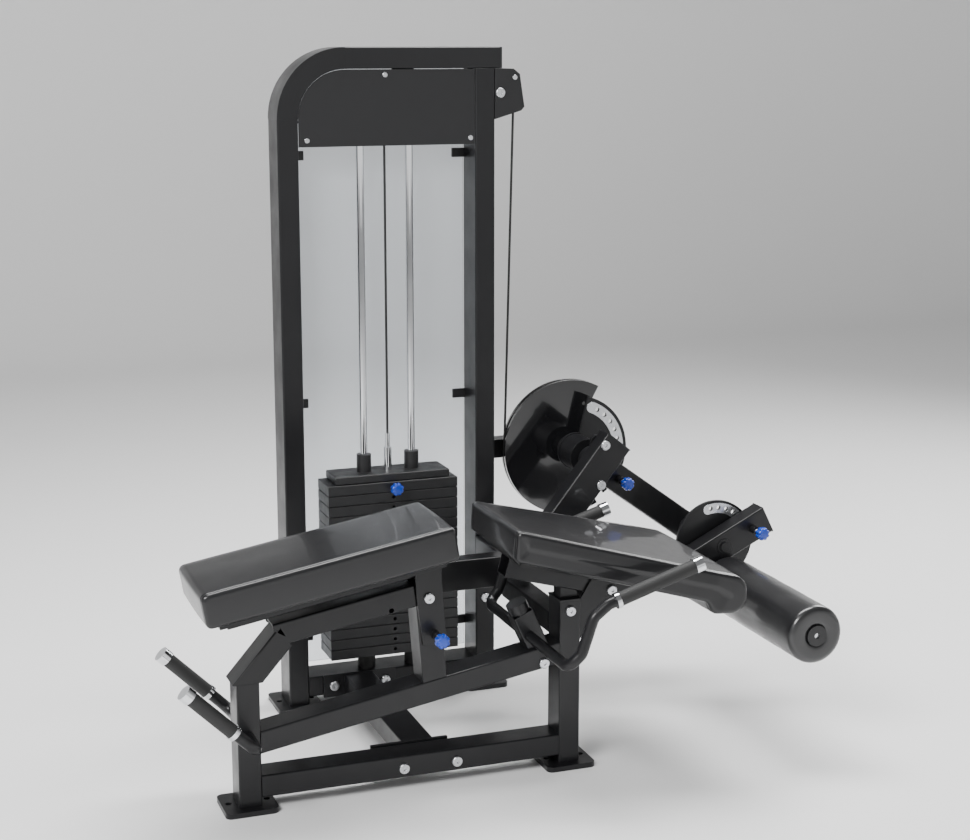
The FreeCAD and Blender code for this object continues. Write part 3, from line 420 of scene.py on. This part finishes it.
def foam_roller():
    """Soft roller, very slightly fuller in its middle."""
    low, high, centre, radius = middle_and_radius("roller_foam")
    profile = rounded_end(low.y, 1, radius)
    for k in range(1, 24):
        t = k / 24
        y = low.y + ROLLER_EDGE * MM + (high.y - low.y - 2 * ROLLER_EDGE * MM) * t
        profile.append((y, radius + 0.7 * math.sin(math.pi * t) + 0.25 * math.sin(t * 23), 0))
    profile += reversed(rounded_end(high.y, -1, radius))
    piece = turned("foam_roller", centre, profile, [foam])
    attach(piece, "roller")
    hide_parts("roller_foam")


foam_roller()


# ---- cable above the weight stack ----
def stack_cable():
    """Cable from the top pulley to the stack, drawn at one fixed length; the real run shortens as the stack
    rises.
    """
    low, high = (Vector(v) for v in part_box("cable_stack_run"))
    centre = (low + high) / 2
    rings = []
    for k in range(41):
        z = low.z + (high.z - low.z) * k / 40
        ring = []
        for i in range(20):
            turn = 2 * math.pi * i / 20
            x = centre.x + CABLE_RADIUS * math.cos(turn)
            ring.append(Vector((x, centre.y + CABLE_RADIUS * math.sin(turn), z)))
        rings.append(ring)
    points, faces = loft(rings)
    cable = mesh_object("stack_cable", points, faces, [jacket])
    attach(cable, "frame")
    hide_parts("cable_stack_run")
    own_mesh(cable)


stack_cable()

# ---- floor, light and camera ----
floor_mat = material("pale floor", (0.90, 0.90, 0.90), 0.0, 0.6)
tint(floor_mat, 0.6, (0.88, 0.88, 0.88), (0.92, 0.92, 0.92))
grain(floor_mat, 120.0, 0.0004, 0.12)


def backdrop():
    """Floor that curves up into a low wall behind the machine."""
    bend, wall_y, top = 1.8, 7.0, 2.5
    profile = [(-12.0, 0.0), (0.0, 0.0), (wall_y - bend, 0.0)]
    for k in range(1, 17):
        turn = math.pi / 2 * k / 16
        profile.append((wall_y - bend + bend * math.sin(turn), bend - bend * math.cos(turn)))
    profile.append((wall_y, top))
    points = [(x, y, z) for y, z in profile for x in (-15.0, 15.0)]
    faces = [(2 * k, 2 * k + 1, 2 * k + 3, 2 * k + 2) for k in range(len(profile) - 1)]
    return mesh_object("floor", points, faces, [floor_mat])


backdrop()

# The surroundings are bright at the horizon and dim overhead, so that black faces keep their depth.
world = bpy.data.worlds.new("studio")
bpy.context.scene.world = world
world.use_nodes = True
sky, sky_links = world.node_tree.nodes, world.node_tree.links
direction = sky.new("ShaderNodeTexCoord")
height = sky.new("ShaderNodeSeparateXYZ")
fade = sky.new("ShaderNodeMapRange")
fade.interpolation_type = "SMOOTHSTEP"
fade.inputs["From Min"].default_value = 0.08
fade.inputs["From Max"].default_value = 0.42
fade.inputs["To Min"].default_value = 1.15
fade.inputs["To Max"].default_value = 0.22
sky_links.new(direction.outputs["Generated"], height.inputs["Vector"])
sky_links.new(height.outputs["Z"], fade.inputs["Value"])
sky_links.new(fade.outputs["Result"], sky["Background"].inputs["Strength"])
sky["Background"].inputs["Color"].default_value = (1.0, 1.0, 1.0, 1.0)


def area_light(name, place, target, size, power):
    """Rectangular light at a place, aimed at a target."""
    light = bpy.data.lights.new(name, "AREA")
    light.shape = "RECTANGLE"
    light.size, light.size_y = size
    light.energy = power
    obj = bpy.data.objects.new(name, light)
    obj.location = place
    obj.rotation_euler = (Vector(target) - Vector(place)).to_track_quat("-Z", "Y").to_euler()
    bpy.context.scene.collection.objects.link(obj)


area_light("key", (-3.2, -2.6, 3.6), (0.0, 0.0, 0.7), (2.2, 1.6), 260)
area_light("top", (0.3, 0.6, 3.8), (0.1, 0.1, 0.6), (3.0, 1.2), 210)
area_light("rim", (3.0, 1.8, 2.6), (0.2, 0.1, 0.7), (1.4, 2.0), 90)

camera_data = bpy.data.cameras.new("camera")
camera_data.sensor_width = 36.0
camera_data.lens = 67.73
camera_data.shift_x = -0.001
camera_data.shift_y = -0.0052
camera_data.dof.use_dof = False
camera = bpy.data.objects.new("camera", camera_data)
camera.location = row(*CAMERA_AT)
camera.rotation_euler = (math.radians(90 - CAMERA_PITCH), 0.0, math.radians(-CAMERA_YAW))
bpy.context.scene.collection.objects.link(camera)
bpy.context.scene.camera = camera
